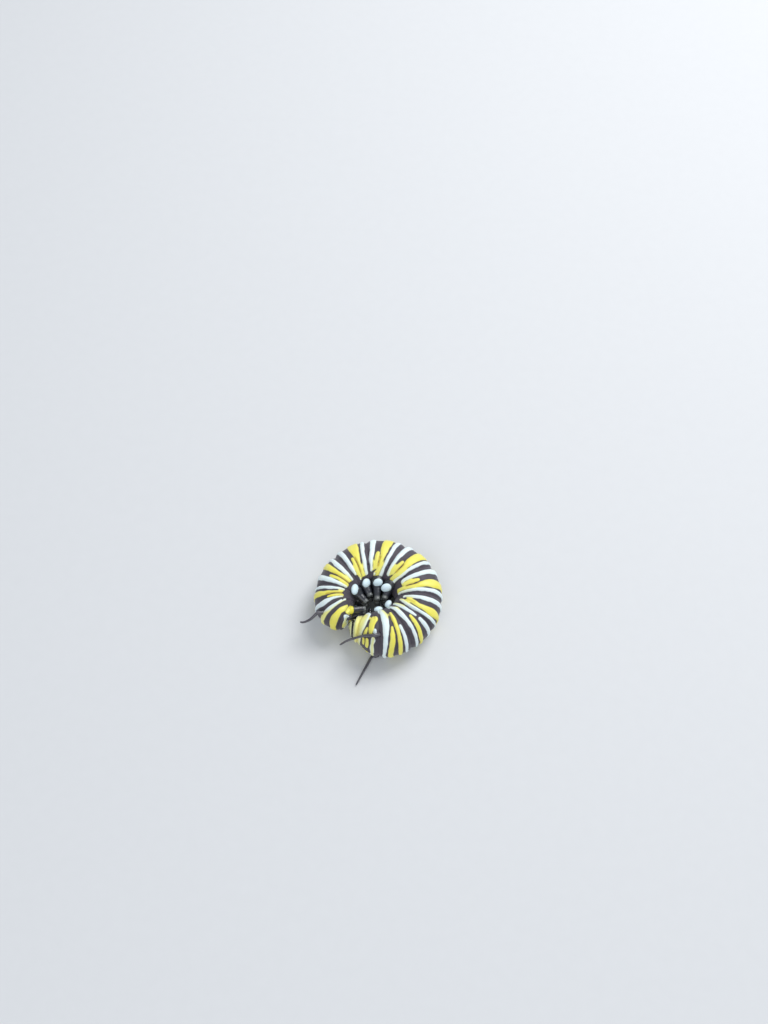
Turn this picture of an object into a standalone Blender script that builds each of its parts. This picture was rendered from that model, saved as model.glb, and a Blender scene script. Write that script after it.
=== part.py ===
"""A full-grown monarch larva, curled in a ring and lying on its left side, life size.

Run with: blender --background --python part.py

The body is a tube bent belly inward round a hollow. It is worked out from stations,
one at the tail's tip and one at each joint between two body segments. A station
gives the point of the back, the point of the belly, the half height across the
flanks and the height of its middle. The outline there is an ellipse in the upright
plane through back and belly. Angles round the body run from 0 on the back through
90 on the right flank, which is on top, to 180 on the belly. Z = 0 is the surface
that the larva lies on.
"""

import math

import bmesh
import bpy
import numpy as np

MM = 0.001

# Clearance between pieces that touch, and from a limb to the body it grows from.
GAP = 0.3 * MM

# Centre of the ring's round back in plan, so that the origin is under the middle.
RING_CENTRE = np.array((1.10 * MM, 1.79 * MM))

# Tail to head: angle (degrees) and radius (mm) of the back seen from the ring's
# centre, belly x and y (mm), half height (mm), height of the middle (mm).
STATIONS = (
    ("tail_tip", 222.6, 7.02, -4.45, -3.45, 0.80, 4.75),
    ("a10_a9", 223.5, 7.92, -4.10, -2.75, 1.75, 4.15),
    ("a9_a8", 221.0, 8.80, -4.15, -2.20, 2.40, 3.80),
    ("a8_a7", 199.8, 10.45, -3.75, -0.95, 3.30, 3.45),
    ("a7_a6", 171.1, 10.55, -3.43, -0.25, 3.60, 3.44),
    ("a6_a5", 135.7, 10.55, -2.64, 0.75, 3.60, 3.44),
    ("a5_a4", 101.9, 10.55, -1.34, 1.90, 3.60, 3.44),
    ("a4_a3", 62.8, 10.55, 0.41, 2.05, 3.60, 3.44),
    ("a3_a2", 30.5, 10.55, 1.96, 0.95, 3.60, 3.44),
    ("a2_a1", -4.9, 10.55, 2.45, -0.43, 3.60, 3.44),
    ("a1_t3", -34.2, 10.55, 2.05, -1.30, 3.60, 3.44),
    ("t3_t2", -58.0, 10.55, 1.03, -2.00, 3.60, 3.44),
    ("t2_t1", -89.5, 10.40, 0.05, -2.35, 3.52, 3.40),
    ("t1_head", -114.5, 8.20, -3.00, -3.15, 2.40, 2.75),
)
HEAD_STATION = len(STATIONS) - 1

# The tail is one piece up to this station, and each segment after it starts at its own.
TAIL_END = 2
SEGMENTS = ("a8", "a7", "a6", "a5", "a4", "a3", "a2", "a1", "t3", "t2", "t1")

# Four raised folds to a segment, as (start, end) in parts of its length, tail side first.
FOLDS = ((0.07, 0.25), (0.32, 0.46), (0.52, 0.69), (0.75, 0.93))
FOLD_DEPTH = 0.12 * MM
JOINT_DEPTH = 0.28 * MM
SIDES = 24

# The dome over the tail's end: how far (mm) each outline lies past the last station,
# with its share of that station's size, and then the places of the outlines up to a8.
TAIL_DOME = ((0.32, 0.45), (0.18, 0.84))
TAIL_PLACES = (0.08, 0.40, 0.75, 1.05, 1.20, 1.55, 1.75, 2.0)

# How deep a limb starts inside the body, as a share of the body's half height there.
ROOT_SHARE = 0.25

# Limbs: the place of the root along the body, and the foot or tip in plan (mm, from the
# ring's centre). Spread is how far the foot stands from the body's middle plane. A
# profile gives (part of the length, radius in mm) from root to foot.
PROLEG_FEET = {
    "a6": (4.5, -1.85, -1.30),
    "a5": (5.5, -1.30, -0.14),
    "a4": (6.5, -0.20, -0.88),
    "a3": (7.5, 0.92, -0.62),
}
PROLEG_SPREAD = 0.78 * MM
PROLEG_ROOT_ANGLE = math.radians(152)
PROLEG_PROFILE = (
    (0.0, 0.72), (0.35, 0.72), (0.55, 0.62), (0.75, 0.50), (0.86, 0.44), (0.95, 0.47), (1.0, 0.36),
)
LEG_TIPS = {"t3": (10.5, 0.62, -1.60), "t2": (11.5, -0.42, -1.82), "t1": (12.5, -1.30, -2.02)}
LEG_SPREAD = 0.80 * MM
LEG_ROOT_ANGLE = math.radians(162)
LEG_PROFILE = (
    (0.0, 0.36), (0.5, 0.36), (0.66, 0.27), (0.70, 0.29), (0.84, 0.19), (0.87, 0.20), (1.0, 0.06),
)
ANAL_FEET = {"a10": (1.85, -2.05, -2.48)}
ANAL_SPREAD = 0.68 * MM
ANAL_ROOT_ANGLE = math.radians(140)
ANAL_PROFILE = (
    (0.0, 0.54), (0.30, 0.60), (0.55, 0.59), (0.75, 0.52), (0.88, 0.44), (0.95, 0.46), (1.0, 0.36),
)

# Soft filaments: the points (mm, from the ring's centre and the floor) that each passes,
# the first inside the body, with its thickness at the root and near the tip.
FILAMENTS = {
    "filament_t2_right": (
        (0.10, -7.70, 5.70), (-0.02, -8.25, 6.70), (-0.60, -8.50, 6.98), (-1.30, -8.35, 6.68),
        (-2.20, -8.02, 5.90), (-3.50, -7.72, 4.60), (-5.03, -8.00, 4.00), (-6.20, -8.70, 3.90),
    ),
    "filament_t2_left": (
        (0.10, -7.90, 1.30), (0.02, -8.80, 0.62), (-0.35, -9.05, 0.42), (-1.10, -9.20, 0.38),
        (-1.79, -10.50, 0.36), (-2.46, -11.80, 0.34), (-3.60, -14.10, 0.30),
    ),
    "filament_a8_right": (
        (-8.40, -3.30, 4.80), (-9.30, -3.62, 5.25), (-9.85, -3.72, 5.35), (-10.45, -4.15, 5.05),
        (-11.10, -4.50, 4.55), (-12.00, -4.68, 4.05), (-12.70, -4.55, 3.80),
    ),
    "filament_a8_left": (
        (-6.60, -3.90, 1.70), (-6.50, -3.95, 0.95), (-6.15, -3.75, 0.50), (-5.45, -3.25, 0.40),
        (-4.75, -2.75, 0.38), (-4.15, -2.25, 0.36),
    ),
}
FILAMENT_ROOT_RADIUS = 0.30 * MM
FILAMENT_TIP_RADIUS = 0.14 * MM
FILAMENT_STEPS = 16

# The head: half its width across the body, half its height from crown to mouth, its
# thickness from the neck to the face, the notch at the crown and how far the face leans.
HEAD_HALF_WIDTH = 1.65 * MM
HEAD_HALF_HEIGHT = 1.52 * MM
HEAD_THICKNESS = 1.45 * MM
HEAD_SIDES = 32
HEAD_PARTS = (0.0, 0.12, 0.3, 0.5, 0.68, 0.82, 0.92, 0.98)
CROWN_NOTCH = 0.10
CROWN_NOTCH_WIDTH = 0.28
CHEEK_SWELL = 0.08
FACE_LEAN = 0.14 * MM

# Six small eyes on each cheek: part of the head's thickness, and degrees from the crown.
EYES = ((0.36, 108), (0.48, 106), (0.59, 111), (0.64, 121), (0.54, 132), (0.38, 122))
EYE_RADIUS = 0.11 * MM

# Mouthparts and feelers, one of each on both sides: forward from the neck, out from the
# middle, down from the head's centre (mm), then half sizes in the same directions.
LABRUM = ((1.22, 0.0, 0.98), (0.24, 0.36, 0.22))
MANDIBLE = ((1.05, 0.27, 1.24), (0.26, 0.24, 0.24))
FEELER_ROOT = (1.02, 0.86, 0.92)
FEELER_TIP = (1.40, 1.06, 1.22)
FEELER_PROFILE = ((0.0, 0.17), (0.45, 0.15), (0.5, 0.10), (0.8, 0.09), (1.0, 0.04))

# Real colours of the pieces, as the colour that shows most on each.
VELVET_BLACK = (0.020, 0.017, 0.022)
PALE_YELLOW = (0.80, 0.72, 0.20)
CREAM = (0.80, 0.82, 0.72)
HORN_BLACK = (0.010, 0.010, 0.012)


def remove_scene_objects():
    for item in list(bpy.data.objects):
        bpy.data.objects.remove(item, do_unlink=True)


def material(name, colour, roughness):
    finish = bpy.data.materials.new(name)
    finish.use_nodes = True
    shader = finish.node_tree.nodes["Principled BSDF"]
    shader.inputs["Base Color"].default_value = (*colour, 1.0)
    shader.inputs["Roughness"].default_value = roughness
    shader.inputs["Metallic"].default_value = 0.0
    return finish


def station_values():
    """Stations as rows of back angle, back radius, belly x, belly y, half height, middle."""
    rows = np.array([row[1:] for row in STATIONS], dtype=float)
    rows[:, 0] = np.radians(rows[:, 0])
    rows[:, 1:] *= MM
    return rows


def along(rows, place):
    """A smooth (Catmull-Rom) curve through the rows, read at a place counted in rows."""
    first = min(int(place), len(rows) - 2)
    part = place - first
    before = rows[first - 1] if first else 2 * rows[0] - rows[1]
    start, end = rows[first], rows[first + 1]
    after = rows[first + 2] if first + 2 < len(rows) else 2 * rows[-1] - rows[-2]
    return 0.5 * (
        2 * start
        + (end - before) * part
        + (2 * before - 5 * start + 4 * end - after) * part ** 2
        + (3 * start - before - 3 * end + after) * part ** 3
    )


BODY_ROWS = station_values()


def body_section(place):
    """Centre and back direction in plan, depth and height of the half outline, middle."""
    angle, radius, belly_x, belly_y, half_height, middle = along(BODY_ROWS, place)
    back = RING_CENTRE + radius * np.array((math.cos(angle), math.sin(angle)))
    belly = RING_CENTRE + np.array((belly_x, belly_y))
    reach = (back - belly) / 2
    half_depth = float(np.hypot(*reach))
    return (back + belly) / 2, reach / half_depth, half_depth, half_height, middle


def body_point(place, angle, swell=0.0):
    """One point of the body's surface, or off it by swell, at an angle round it."""
    centre, backward, half_depth, half_height, middle = body_section(place)
    plan = centre + backward * (half_depth + swell) * math.cos(angle)
    height = middle + (half_height + swell) * math.sin(angle)
    return np.array((plan[0], plan[1], height))


def heading(place):
    """Level direction from tail to head, square to the outline at this place."""
    backward = body_section(place)[1]
    return np.array((backward[1], -backward[0], 0.0))


def fold_swell(part, angle):
    """Depth below the raised folds: deepest at the joints, shallow towards the belly."""
    knots = [0.0]
    depths = [-JOINT_DEPTH]
    for number, (start, end) in enumerate(FOLDS):
        knots += [start, end]
        depths += [0.0, 0.0]
        last = number == len(FOLDS) - 1
        knots.append(1.0 if last else (end + FOLDS[number + 1][0]) / 2)
        depths.append(-JOINT_DEPTH if last else -FOLD_DEPTH)
    fade = 0.3 + 0.7 * (1 + math.cos(angle)) / 2
    return float(np.interp(part, knots, depths)) * fade


def fold_parts():
    """Parts of a segment's length where its outline changes: joints, folds and grooves."""
    parts = [0.0]
    for number, (start, end) in enumerate(FOLDS):
        parts += [start, end]
        if number < len(FOLDS) - 1:
            parts.append((end + FOLDS[number + 1][0]) / 2)
    return parts + [1.0]


def segment_rings(number):
    """Outlines of one segment, between flat ends that stand half the gap from each joint."""
    slide_in = heading(number) * GAP / 2
    slide_out = heading(number + 1) * GAP / 2
    rings = []
    for part in fold_parts():
        ring = []
        for side in range(SIDES):
            angle = 2 * math.pi * side / SIDES
            swell = fold_swell(part, angle)
            point = body_point(number + part, angle, swell)
            point = point + slide_in * (1 - part) - slide_out * part
            point[2] = max(point[2], 0.0)
            ring.append(point)
        rings.append(ring)
    return rings


def tail_rings():
    """Outlines of the tail piece, which closes in a dome over the tail's end."""
    rings = []
    centre, backward, half_depth, half_height, middle = body_section(0)
    for push, shrink in TAIL_DOME:
        beyond = heading(0) * push * MM
        ring = []
        for side in range(SIDES):
            angle = 2 * math.pi * side / SIDES
            plan = centre + backward * half_depth * shrink * math.cos(angle)
            height = middle + half_height * shrink * math.sin(angle)
            ring.append(np.array((plan[0], plan[1], height)) - beyond)
        rings.append(ring)
    for place in TAIL_PLACES:
        slide = heading(TAIL_END) * GAP / 2 * place / TAIL_END
        ring = []
        for side in range(SIDES):
            ring.append(body_point(place, 2 * math.pi * side / SIDES) - slide)
        rings.append(ring)
    return rings


def loft(rings):
    """A closed solid through rings of equal length, with a flat face at each end."""
    mesh = bmesh.new()
    loops = [[mesh.verts.new(point) for point in ring] for ring in rings]
    for lower, upper in zip(loops, loops[1:]):
        for side in range(len(lower)):
            following = (side + 1) % len(lower)
            mesh.faces.new((lower[side], lower[following], upper[following], upper[side]))
    mesh.faces.new(list(reversed(loops[0])))
    mesh.faces.new(loops[-1])
    bmesh.ops.recalc_face_normals(mesh, faces=mesh.faces[:])
    return mesh


def add_object(name, mesh, finish):
    data = bpy.data.meshes.new(name)
    mesh.to_mesh(data)
    mesh.free()
    data.shade_smooth()
    data.set_sharp_from_angle(angle=math.radians(40))
    if finish:
        data.materials.append(finish)
    item = bpy.data.objects.new(name, data)
    bpy.context.scene.collection.objects.link(item)
    return item


def body_clearance():
    """The whole body swollen by the gap: what limbs are cut with, so that they meet it."""
    rings = tail_rings()[:-1]
    for place in np.arange(TAIL_END, HEAD_STATION + 0.125, 0.25):
        rings.append([body_point(place, 2 * math.pi * side / SIDES) for side in range(SIDES)])
    mesh = loft(rings)
    mesh.normal_update()
    for corner in mesh.verts:
        corner.co += corner.normal * GAP
    cutter = add_object("body_clearance", mesh, None)
    cutter.hide_render = True
    cutter.display_type = "WIRE"
    return cutter


def tube(path, radii, sides):
    """A round, tapering member along a path of points in metres."""
    points = np.array(path, dtype=float)
    steps = np.gradient(points, axis=0)
    rings = []
    across = np.array((0.0, 0.0, 1.0))
    for point, step, radius in zip(points, steps, radii):
        forward = step / np.linalg.norm(step)
        across = across - forward * np.dot(across, forward)
        across = across / np.linalg.norm(across)
        third = np.cross(forward, across)
        angles = [2 * math.pi * side / sides for side in range(sides)]
        rings.append([
            point + radius * (math.cos(angle) * across + math.sin(angle) * third)
            for angle in angles
        ])
    return loft(rings)


def cut_by(item, cutter):
    """Cuts an object back to the clearance round the body, for good."""
    modifier = item.modifiers.new("meet_body", "BOOLEAN")
    modifier.operation = "DIFFERENCE"
    modifier.solver = "EXACT"
    modifier.object = cutter
    graph = bpy.context.evaluated_depsgraph_get()
    cut = bpy.data.meshes.new_from_object(item.evaluated_get(graph))
    item.modifiers.clear()
    item.data = cut
    keep_largest_body(item)


def keep_largest_body(item):
    """Keeps the largest closed surface of an object and drops loose scraps."""
    mesh = bmesh.new()
    mesh.from_mesh(item.data)
    left = set(mesh.verts)
    bodies = []
    while left:
        body = {left.pop()}
        edge_of_body = set(body)
        while edge_of_body:
            near = {edge.other_vert(v) for v in edge_of_body for edge in v.link_edges}
            edge_of_body = near - body
            body |= edge_of_body
        left -= body
        bodies.append(body)
    largest = max(bodies, key=len)
    bmesh.ops.delete(mesh, geom=[v for v in mesh.verts if v not in largest], context="VERTS")
    mesh.to_mesh(item.data)
    mesh.free()


def limb(name, place, root_angle, foot, foot_height, profile, sides, finish, cutter):
    """A limb from inside the body to its foot, cut back to where it leaves the skin."""
    root = body_point(place, root_angle, -ROOT_SHARE * body_section(place)[3])
    end = np.append(RING_CENTRE + np.array(foot) * MM, foot_height)
    path = [root + (end - root) * part for part, radius in profile]
    radii = [radius * MM for part, radius in profile]
    item = add_object(name, tube(path, radii, sides), finish)
    cut_by(item, cutter)


def limb_pairs(kind, feet, spread, root_angle, profile, sides, finish, cutter):
    """The right limbs, which are on top, and the left ones under them."""
    for segment, (place, foot_x, foot_y) in feet.items():
        middle = body_section(place)[4]
        for side, sign in (("right", 1), ("left", -1)):
            limb(
                f"{kind}_{segment}_{side}", place, sign * root_angle, (foot_x, foot_y),
                middle + sign * spread, profile, sides, finish, cutter,
            )


def filament(name, points, finish, cutter):
    """A soft, tapering filament along a smooth curve, cut back to the skin."""
    rows = np.array(points) * MM
    rows[:, :2] += RING_CENTRE
    path = []
    radii = []
    for part in np.linspace(0, 1, FILAMENT_STEPS):
        path.append(along(rows, part * (len(rows) - 1)))
        thinning = (FILAMENT_ROOT_RADIUS - FILAMENT_TIP_RADIUS) * part ** 1.5
        radii.append(FILAMENT_ROOT_RADIUS - thinning)
    item = add_object(name, tube(path, radii, 8), finish)
    cut_by(item, cutter)


def head_frame():
    """Middle of the neck, and the directions forward, to the crown and to the right."""
    centre, backward, _, _, middle = body_section(HEAD_STATION)
    neck = np.array((centre[0], centre[1], middle))
    forward = heading(HEAD_STATION)
    crown = np.array((backward[0], backward[1], 0.0))
    right = np.array((0.0, 0.0, 1.0))
    return neck, forward, crown, right


def head_point(part, angle):
    """A point of the capsule: part of its thickness, and angle from the crown."""
    neck, forward, crown, right = head_frame()
    size = math.sqrt(1 - (abs(2 * part - 0.75) / 1.25) ** 2.6)
    turn = (angle + math.pi) % (2 * math.pi) - math.pi
    size = size * (1 - CROWN_NOTCH * math.exp(-(turn / CROWN_NOTCH_WIDTH) ** 2))
    up = math.cos(angle) * HEAD_HALF_HEIGHT * size
    out = math.sin(angle) * HEAD_HALF_WIDTH * size * (1 - CHEEK_SWELL * math.cos(angle))
    lean = -math.cos(angle) * FACE_LEAN * part
    return neck + forward * (GAP / 2 + part * HEAD_THICKNESS + lean) + crown * up + right * out


def head_place(place):
    """A point given as forward, out and down from the head's centre, in mm."""
    neck, forward, crown, right = head_frame()
    ahead, out, down = place
    return neck + (forward * ahead + right * out - crown * down) * MM


def blob(centre, half_sizes, detail):
    """A smooth egg with its axes forward, out and down, as a helper object."""
    _, forward, crown, right = head_frame()
    mesh = bmesh.new()
    bmesh.ops.create_icosphere(mesh, subdivisions=detail, radius=1.0)
    for corner in mesh.verts:
        ahead, out, down = np.array(corner.co) * half_sizes
        corner.co = centre + forward * ahead + right * out - crown * down
    bmesh.ops.recalc_face_normals(mesh, faces=mesh.faces[:])
    return add_object("head_detail", mesh, None)


def feeler(side):
    """A short jointed feeler beside the mouth."""
    root = head_place((FEELER_ROOT[0], FEELER_ROOT[1] * side, FEELER_ROOT[2]))
    tip = head_place((FEELER_TIP[0], FEELER_TIP[1] * side, FEELER_TIP[2]))
    path = [root + (tip - root) * part for part, radius in FEELER_PROFILE]
    radii = [radius * MM for part, radius in FEELER_PROFILE]
    return add_object("head_detail", tube(path, radii, 8), None)


def join_pieces(item, pieces):
    """Joins helper pieces to an object for good and removes them."""
    group = bpy.data.collections.new("head_details")
    bpy.context.scene.collection.children.link(group)
    for piece in pieces:
        group.objects.link(piece)
    modifier = item.modifiers.new("join_details", "BOOLEAN")
    modifier.operation = "UNION"
    modifier.solver = "EXACT"
    modifier.operand_type = "COLLECTION"
    modifier.collection = group
    graph = bpy.context.evaluated_depsgraph_get()
    joined = bpy.data.meshes.new_from_object(item.evaluated_get(graph))
    item.modifiers.clear()
    item.data = joined
    for piece in pieces:
        bpy.data.objects.remove(piece, do_unlink=True)
    bpy.data.collections.remove(group)
    keep_largest_body(item)


def head(finish):
    """A heart-shaped capsule on a flat neck, with its eyes, mouthparts and feelers."""
    rings = []
    for part in HEAD_PARTS:
        ring = []
        for side in range(HEAD_SIDES):
            ring.append(head_point(part, 2 * math.pi * side / HEAD_SIDES))
        rings.append(ring)
    item = add_object("head", loft(rings), finish)
    pieces = [blob(head_place(LABRUM[0]), np.array(LABRUM[1]) * MM, 2)]
    for side in (1, -1):
        ahead, out, down = MANDIBLE[0]
        pieces.append(blob(head_place((ahead, out * side, down)), np.array(MANDIBLE[1]) * MM, 2))
        pieces.append(feeler(side))
        for part, degrees in EYES:
            centre = head_point(part, side * math.radians(degrees))
            pieces.append(blob(centre, np.full(3, EYE_RADIUS), 2))
    join_pieces(item, pieces)


def main():
    remove_scene_objects()
    skin = material("banded_skin", PALE_YELLOW, 0.6)
    black_skin = material("black_skin", VELVET_BLACK, 0.7)
    capsule = material("head_capsule", CREAM, 0.3)
    horn = material("black_horn", HORN_BLACK, 0.25)
    cutter = body_clearance()
    add_object("a9_a10", loft(tail_rings()), skin)
    for number, name in enumerate(SEGMENTS, start=TAIL_END):
        add_object(name, loft(segment_rings(number)), skin)
    head(capsule)
    limb_pairs(
        "proleg", PROLEG_FEET, PROLEG_SPREAD, PROLEG_ROOT_ANGLE, PROLEG_PROFILE, 12,
        black_skin, cutter,
    )
    limb_pairs(
        "proleg", ANAL_FEET, ANAL_SPREAD, ANAL_ROOT_ANGLE, ANAL_PROFILE, 12, black_skin, cutter,
    )
    limb_pairs("leg", LEG_TIPS, LEG_SPREAD, LEG_ROOT_ANGLE, LEG_PROFILE, 10, horn, cutter)
    for name, points in FILAMENTS.items():
        filament(name, points, black_skin, cutter)


main()
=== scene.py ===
"""A full-grown monarch larva, curled in a ring and lying on its left side, life size.

Every soft surface is worked out from the same body as the CAD solids: a place along the
larva, from 0 at the tail's tip to 13 at the head, and an angle round it, from 0 on the
back through 90 on the right flank, which is on top, to 180 on the belly.
"""

import bpy
import numpy as np
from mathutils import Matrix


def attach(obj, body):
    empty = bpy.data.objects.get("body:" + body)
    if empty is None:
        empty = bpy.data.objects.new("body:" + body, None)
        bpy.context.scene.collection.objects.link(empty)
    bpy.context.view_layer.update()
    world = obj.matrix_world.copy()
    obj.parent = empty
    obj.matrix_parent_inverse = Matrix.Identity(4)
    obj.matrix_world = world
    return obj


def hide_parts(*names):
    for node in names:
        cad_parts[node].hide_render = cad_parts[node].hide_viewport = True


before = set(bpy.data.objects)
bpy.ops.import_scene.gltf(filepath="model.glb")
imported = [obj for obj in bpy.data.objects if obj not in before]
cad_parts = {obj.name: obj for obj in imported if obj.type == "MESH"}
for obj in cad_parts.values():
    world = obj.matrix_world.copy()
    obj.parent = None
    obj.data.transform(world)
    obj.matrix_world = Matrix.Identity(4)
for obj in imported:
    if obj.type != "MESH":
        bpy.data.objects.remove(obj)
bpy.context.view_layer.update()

bl_info = {
    "name": "Monarch larva",
    "version": (1, 0, 0),
    "blender": (4, 5, 0),
    "location": "3D View > Sidebar > Larva",
    "description": "Builds a life-size monarch larva, curled in a ring, over its CAD solids",
    "category": "Add Mesh",
}

MM = 0.001

# The body, as in the CAD: back angle (degrees) and back radius (mm) seen from the ring's
# centre, belly x and y (mm), half height (mm) and height of the middle (mm).
RING_CENTRE = np.array((1.10, 1.79)) * MM
STATIONS = {
    "tail_tip": (222.6, 7.02, -4.45, -3.45, 0.80, 4.75),
    "a10_a9": (223.5, 7.92, -4.10, -2.75, 1.75, 4.15),
    "a9_a8": (221.0, 8.80, -4.15, -2.20, 2.40, 3.80),
    "a8_a7": (199.8, 10.45, -3.75, -0.95, 3.30, 3.45),
    "a7_a6": (171.1, 10.55, -3.43, -0.25, 3.60, 3.44),
    "a6_a5": (135.7, 10.55, -2.64, 0.75, 3.60, 3.44),
    "a5_a4": (101.9, 10.55, -1.34, 1.90, 3.60, 3.44),
    "a4_a3": (62.8, 10.55, 0.41, 2.05, 3.60, 3.44),
    "a3_a2": (30.5, 10.55, 1.96, 0.95, 3.60, 3.44),
    "a2_a1": (-4.9, 10.55, 2.45, -0.43, 3.60, 3.44),
    "a1_t3": (-34.2, 10.55, 2.05, -1.30, 3.60, 3.44),
    "t3_t2": (-58.0, 10.55, 1.03, -2.00, 3.60, 3.44),
    "t2_t1": (-89.5, 10.40, 0.05, -2.35, 3.52, 3.40),
    "t1_head": (-114.5, 8.20, -3.00, -3.15, 2.40, 2.75),
}
HEAD_PLACE = len(STATIONS) - 1
# Mean radius of the body, which turns an angle round it into a length (mm).
MEAN_RADIUS = 3.75
SKIN_NODES = ("a9_a10", "a8", "a7", "a6", "a5", "a4", "a3", "a2", "a1", "t3", "t2", "t1")

# Bands of each segment, from the tail to the head. Every knot gives an angle from the
# back, and where the band starts and ends along the body there, in segments.
WHITE_BANDS = {
    "a9": ((86, -0.30, 1.90), (74, -0.30, 1.80), (47, -0.10, 1.20), (12, 0.10, 1.30), (0, 0.10, 1.30)),
    "a8_front": ((124, 2.94, 3.10), (100, 2.79, 3.04), (80, 2.75, 2.98), (40, 2.72, 2.91), (0, 2.70, 2.87)),
    "a7_rear": ((114, 3.22, 3.33), (80, 3.18, 3.33), (60, 3.11, 3.33), (40, 3.13, 3.31), (0, 3.26, 3.36)),
    "a7_front": ((118, 3.77, 3.92), (80, 3.75, 3.90), (60, 3.79, 3.90), (40, 3.82, 3.95), (0, 3.90, 4.02)),
    "a6_rear": ((122, 4.05, 4.20), (80, 4.06, 4.24), (40, 4.13, 4.30), (20, 4.19, 4.35), (0, 4.20, 4.36)),
    "a6_front": ((125, 4.69, 4.84), (80, 4.68, 4.85), (60, 4.71, 4.86), (40, 4.77, 4.89), (0, 4.80, 4.92)),
    "a5_rear": ((121, 5.05, 5.20), (100, 5.03, 5.22), (60, 5.07, 5.23), (0, 5.10, 5.26)),
    "a5_fleck": ((138, 5.27, 5.33), (128, 5.27, 5.33)),
    "a5_front": ((136, 5.70, 5.90), (120, 5.69, 5.90), (80, 5.76, 5.90), (40, 5.83, 5.94), (0, 5.85, 5.96)),
    "a4_rear": ((130, 6.08, 6.22), (100, 6.04, 6.21), (80, 6.09, 6.25), (0, 6.13, 6.28)),
    "a4_fleck": ((142, 6.27, 6.40), (134, 6.27, 6.40)),
    "a4_front": ((146, 6.60, 6.88), (120, 6.70, 6.86), (80, 6.74, 6.87), (0, 6.76, 6.88)),
    "a3_rear": ((138, 7.12, 7.32), (120, 7.04, 7.21), (60, 7.04, 7.22), (0, 7.05, 7.23)),
    "a3_front": ((148, 7.62, 7.88), (120, 7.79, 7.93), (60, 7.80, 7.93), (0, 7.80, 7.93)),
    "a2_rear": ((128, 8.12, 8.40), (120, 8.09, 8.29), (80, 8.13, 8.29), (0, 8.11, 8.28)),
    "a2_front": ((148, 8.74, 8.94), (120, 8.77, 8.95), (60, 8.79, 8.92), (0, 8.80, 8.93)),
    "a1_rear": ((128, 9.22, 9.42), (120, 9.19, 9.38), (80, 9.16, 9.35), (40, 9.13, 9.28), (0, 9.13, 9.26)),
    "a1_front": (
        (136, 9.52, 9.68), (124, 9.56, 9.86), (107, 9.76, 9.97), (92, 9.81, 9.99), (76, 9.82, 9.97),
        (60, 9.80, 9.94), (40, 9.77, 9.89), (0, 9.72, 9.82),
    ),
    "t3_rear_low": ((63, 10.08, 10.24), (40, 10.06, 10.24), (0, 10.07, 10.23)),
    "t3_rear_top": (
        (146, 10.08, 10.42), (132, 10.04, 10.40), (112, 10.09, 10.36), (96, 10.14, 10.35),
        (78, 10.12, 10.28), (70, 10.12, 10.24),
    ),
    "t3_front": (
        (154, 10.82, 11.06), (140, 10.76, 11.02), (130, 10.60, 10.94), (122, 10.48, 10.87),
        (100, 10.57, 10.84), (60, 10.64, 10.80), (20, 10.74, 10.86), (0, 10.75, 10.87),
    ),
    "t2_rear": ((77, 11.06, 11.18), (40, 11.10, 11.21), (0, 11.15, 11.25)),
    "t2_front": (
        (160, 11.92, 12.12), (150, 11.85, 12.12), (140, 11.70, 12.06), (130, 11.58, 12.01),
        (113, 11.45, 11.89), (80, 11.57, 11.82), (55, 11.68, 11.84), (31, 11.75, 11.86), (0, 11.80, 11.90),
    ),
    "t1_spot": ((78, 12.09, 12.21), (64, 12.08, 12.24)),
    "t1_rear": (
        (56, 12.15, 12.27), (48, 12.11, 12.29), (34, 12.19, 12.30), (18, 12.16, 12.33), (0, 12.18, 12.30),
    ),
    "t1_middle": (
        (152, 12.50, 12.68), (130, 12.42, 12.78), (113, 12.45, 12.90), (97, 12.54, 12.97),
        (79, 12.62, 13.04), (61, 12.71, 13.08), (41, 12.78, 13.10), (0, 12.84, 13.10),
    ),
    "t1_front": (
        (150, 12.88, 13.38), (125, 12.83, 13.44), (103, 12.86, 13.52), (80, 12.90, 13.55),
        (55, 12.94, 13.55), (0, 12.96, 13.55),
    ),
}
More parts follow.
